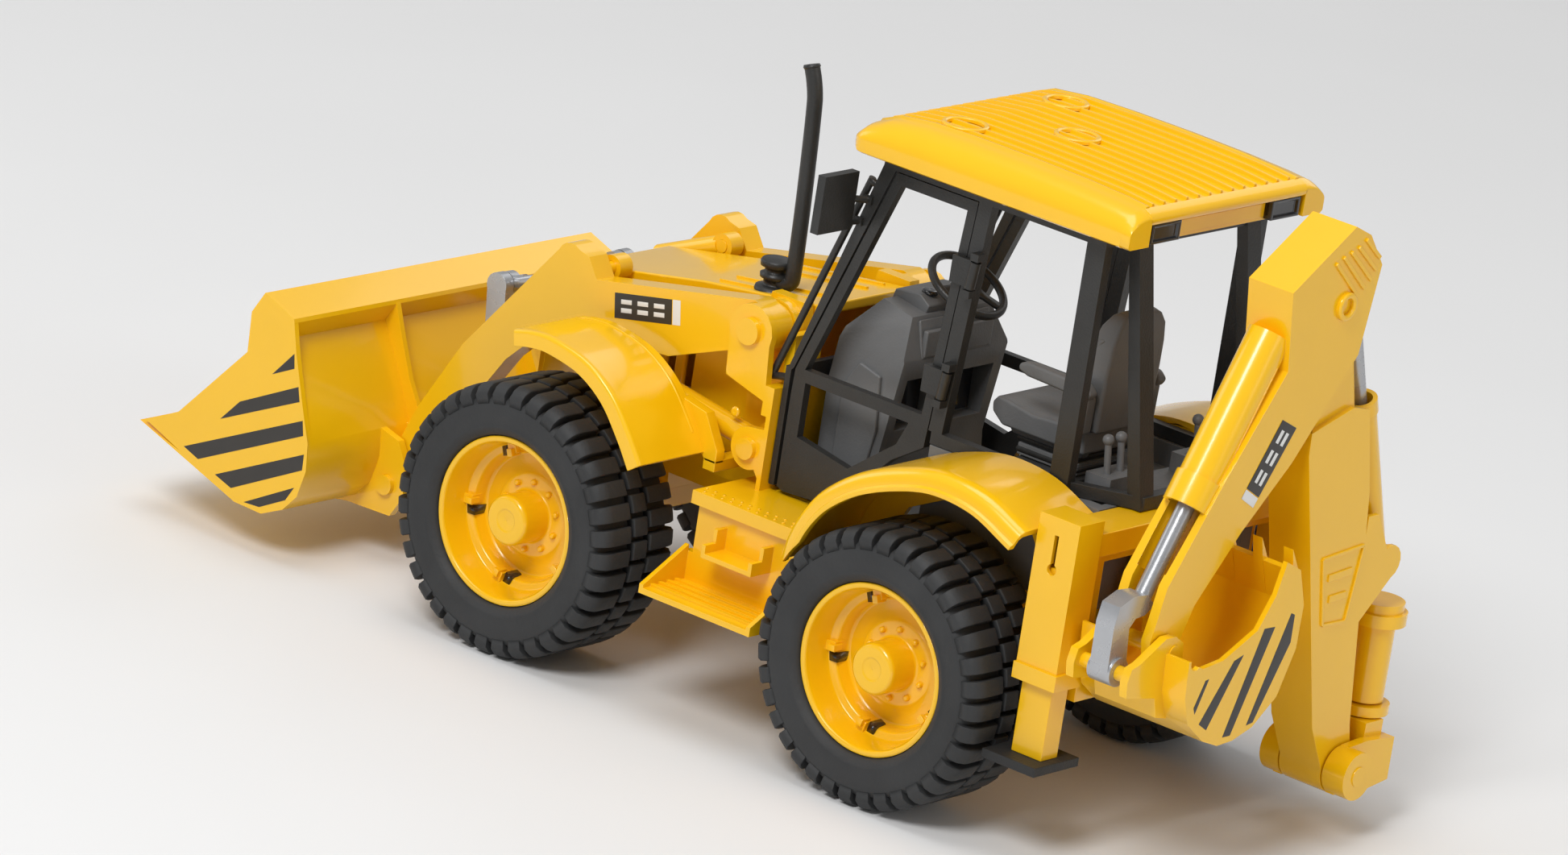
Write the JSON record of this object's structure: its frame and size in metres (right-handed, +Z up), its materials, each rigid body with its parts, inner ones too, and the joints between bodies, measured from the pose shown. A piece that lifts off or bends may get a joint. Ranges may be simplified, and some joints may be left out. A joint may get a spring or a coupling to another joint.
{
  "type": "toy backhoe loader",
  "caption": "Toy backhoe loader with front bucket, open cab, opening doors, steering front wheels, sliding stabilisers and a side-shifting, slewing rear arm with shovel.",
  "frame": {"origin": "on the ground under the middle of the bounding box", "axes": "+X to the nose, +Y to the machine's left, +Z up"},
  "size_m": [0.381, 0.154, 0.1886],
  "materials": {
    "yellow": "glossy, injection moulded",
    "cab_black": "satin dark grey",
    "interior": "satin mid grey",
    "tyre": "matt moulded",
    "silver": "silver grey, satin",
    "lens": "dark, glossy",
    "steel": "plain",
    "pad": "matt"
  },
  "bodies": {
    "machine": {"chassis": "yellow", "rear_axle_shaft": "steel", "rear_axle_housing": "yellow", "front_axle_beam": "yellow", "hood": "yellow", "grille": "yellow", "exhaust_stack": "cab_black", "front_fender_left": "yellow", "front_fender_right": "yellow", "rear_fender_left": "yellow", "rear_fender_right": "yellow", "step_left": "yellow", "step_right": "yellow", "rear_frame": "yellow", "stabiliser_tube_left": "yellow", "stabiliser_tube_right": "yellow", "cab_frame": "cab_black", "cab_floor": "interior", "dashboard": "interior", "seat_pedestal": "interior", "seat": "interior", "lever_console": "interior", "door_hinges": "cab_black", "roof": "yellow", "work_lamps": "lens", "mirrors": "cab_black", "handrails": "cab_black"},
    "wheel_rear_left": {"tyre_rear_left": "tyre", "rim_rear_left": "yellow"},
    "wheel_rear_right": {"tyre_rear_right": "tyre", "rim_rear_right": "yellow"},
    "wheel_front_left": {"tyre_front_left": "tyre", "rim_front_left": "yellow"},
    "wheel_front_right": {"tyre_front_right": "tyre", "rim_front_right": "yellow"},
    "knuckle_left": {"steering_knuckle_left": "yellow"},
    "knuckle_right": {"steering_knuckle_right": "yellow"},
    "steering_wheel_body": {"steering_wheel": "cab_black"},
    "loader": {"loader_arms": "yellow"},
    "lift_barrels": {"lift_ram_barrels": "yellow"},
    "lift_rods": {"lift_ram_rods": "silver"},
    "bucket": {"front_bucket": "yellow"},
    "levers": {"tilt_levers": "silver"},
    "links": {"tilt_links": "silver"},
    "tilt_barrels": {"tilt_ram_barrels": "yellow"},
    "tilt_rods": {"tilt_ram_rods": "silver"},
    "door_l": {"door_left": "cab_black"},
    "door_r": {"door_right": "cab_black"},
    "leg_l": {"stabiliser_leg_left": "yellow", "foot_pad_left": "pad"},
    "leg_r": {"stabiliser_leg_right": "yellow", "foot_pad_right": "pad"},
    "carriage": {"sideshift_carriage": "yellow"},
    "post": {"swing_post": "yellow"},
    "boom_body": {"boom": "yellow"},
    "dipper_body": {"dipper": "yellow"},
    "dipper_barrel": {"dipper_ram_barrel": "yellow"},
    "dipper_rod": {"dipper_ram_rod": "silver"},
    "shovel": {"backhoe_bucket": "yellow"},
    "shovel_rod": {"shovel_ram_rod": "silver"}
  },
  "joints": [
    {"name": "front_left_spin", "type": "hinge", "parent": "knuckle_left", "child": "wheel_front_left", "pos_m": [0.0465, 0.06, 0.04075], "axis": [0, 1, 0], "continuous": true},
    {"name": "front_right_spin", "type": "hinge", "parent": "knuckle_right", "child": "wheel_front_right", "pos_m": [0.0465, -0.06, 0.04075], "axis": [0, 1, 0], "continuous": true},
    {"name": "rear_left_spin", "type": "hinge", "parent": "machine", "child": "wheel_rear_left", "pos_m": [-0.0925, 0.06, 0.04075], "axis": [0, 1, 0], "continuous": true},
    {"name": "rear_right_spin", "type": "hinge", "parent": "machine", "child": "wheel_rear_right", "pos_m": [-0.0925, -0.06, 0.04075], "axis": [0, 1, 0], "continuous": true},
    {"name": "steer_left", "type": "hinge", "parent": "machine", "child": "knuckle_left", "pos_m": [0.0465, 0.0375, 0.04075], "axis": [0, 0, 1], "range_deg": [-12, 12]},
    {"name": "steer_right", "type": "hinge", "parent": "machine", "child": "knuckle_right", "pos_m": [0.0465, -0.0375, 0.04075], "axis": [0, 0, 1], "range_deg": [-12, 12]},
    {"name": "steering_wheel_turn", "type": "hinge", "parent": "machine", "child": "steering_wheel_body", "pos_m": [-0.05075, 0, 0.13256], "axis": [-0.5, 0, 0.866], "range_deg": [-84, 84]},
    {"name": "loader_lift", "type": "hinge", "parent": "machine", "child": "loader", "pos_m": [-0.0071, 0, 0.111], "axis": [0, -1, 0], "range_deg": [-3, 32]},
    {"name": "lift_barrel_swing", "type": "hinge", "parent": "machine", "child": "lift_barrels", "pos_m": [-0.0125, 0, 0.077], "axis": [0, -1, 0], "range_deg": [-2.46, 26.24]},
    {"name": "lift_rod_swing", "type": "hinge", "parent": "loader", "child": "lift_rods", "pos_m": [0.0675, 0, 0.088], "axis": [0, -1, 0], "range_deg": [-5.76, 0.54]},
    {"name": "bucket_tilt", "type": "hinge", "parent": "loader", "child": "bucket", "pos_m": [0.1192, 0, 0.0241], "axis": [0, -1, 0], "range_deg": [-25, 8]},
    {"name": "lever_swing", "type": "hinge", "parent": "loader", "child": "levers", "pos_m": [0.0955, 0, 0.071], "axis": [0, -1, 0], "range_deg": [-25, 8]},
    {"name": "link_swing", "type": "hinge", "parent": "levers", "child": "links", "pos_m": [0.0941, 0, 0.0809], "axis": [0, -1, 0], "range_deg": [-8, 25]},
    {"name": "tilt_barrel_swing", "type": "hinge", "parent": "loader", "child": "tilt_barrels", "pos_m": [0.0575, 0, 0.109], "axis": [0, -1, 0], "range_deg": [-0.64, 2]},
    {"name": "tilt_rod_swing", "type": "hinge", "parent": "levers", "child": "tilt_rods", "pos_m": [0.0978, 0, 0.0915], "axis": [0, -1, 0], "range_deg": [-8.48, 26.5]},
    {"name": "door_left_open", "type": "hinge", "parent": "machine", "child": "door_l", "pos_m": [-0.07886, 0.0398, 0.13], "axis": [-0.114, 0, 0.9935], "range_deg": [0, 42]},
    {"name": "door_right_open", "type": "hinge", "parent": "machine", "child": "door_r", "pos_m": [-0.07886, -0.0398, 0.13], "axis": [0.114, 0, -0.9935], "range_deg": [0, 42]},
    {"name": "stabiliser_left", "type": "slide", "parent": "machine", "child": "leg_l", "axis": [0, 0, -1], "range_m": [0, 0.0265]},
    {"name": "stabiliser_right", "type": "slide", "parent": "machine", "child": "leg_r", "axis": [0, 0, -1], "range_m": [0, 0.0265]},
    {"name": "sideshift", "type": "slide", "parent": "machine", "child": "carriage", "axis": [0, 1, 0], "range_m": [0, 0.095]},
    {"name": "slew", "type": "hinge", "parent": "carriage", "child": "post", "pos_m": [-0.1715, -0.057, 0.04], "axis": [0, 0, 1], "range_deg": [0, 110]},
    {"name": "boom_lower", "type": "hinge", "parent": "post", "child": "boom_body", "pos_m": [-0.1715, -0.038, 0.021], "axis": [-1, 0, 0], "range_deg": [0, 45]},
    {"name": "dipper_reach", "type": "hinge", "parent": "boom_body", "child": "dipper_body", "pos_m": [-0.1715, -0.0026, 0.1652], "axis": [1, 0, 0], "range_deg": [0, 55]},
    {"name": "dipper_barrel_swing", "type": "hinge", "parent": "boom_body", "child": "dipper_barrel", "pos_m": [-0.1715, -0.0475, 0.082], "axis": [1, 0, 0], "range_deg": [0, 2.75]},
    {"name": "dipper_rod_swing", "type": "hinge", "parent": "dipper_body", "child": "dipper_rod", "pos_m": [-0.1715, -0.011, 0.179], "axis": [1, 0, 0], "range_deg": [-52.8, 0]},
    {"name": "shovel_curl", "type": "hinge", "parent": "dipper_body", "child": "shovel", "pos_m": [-0.1715, 0.0565, 0.0725], "axis": [1, 0, 0], "range_deg": [0, 60]},
    {"name": "shovel_rod_swing", "type": "hinge", "parent": "shovel", "child": "shovel_rod", "pos_m": [-0.1715, 0.0715, 0.067], "axis": [1, 0, 0], "range_deg": [-52.2, 0]}
  ],
  "couplings": [
    {"joint": "steer_right", "follows": "steer_left", "ratio": 1},
    {"joint": "steering_wheel_turn", "follows": "steer_left", "ratio": 7},
    {"joint": "lift_barrel_swing", "follows": "loader_lift", "ratio": 0.82},
    {"joint": "lift_rod_swing", "follows": "loader_lift", "ratio": -0.18},
    {"joint": "lever_swing", "follows": "bucket_tilt", "ratio": 1},
    {"joint": "link_swing", "follows": "bucket_tilt", "ratio": -1},
    {"joint": "tilt_barrel_swing", "follows": "bucket_tilt", "ratio": -0.08},
    {"joint": "tilt_rod_swing", "follows": "bucket_tilt", "ratio": -1.06},
    {"joint": "dipper_barrel_swing", "follows": "dipper_reach", "ratio": 0.05},
    {"joint": "dipper_rod_swing", "follows": "dipper_reach", "ratio": -0.96},
    {"joint": "shovel_rod_swing", "follows": "shovel_curl", "ratio": -0.87}
  ]
}
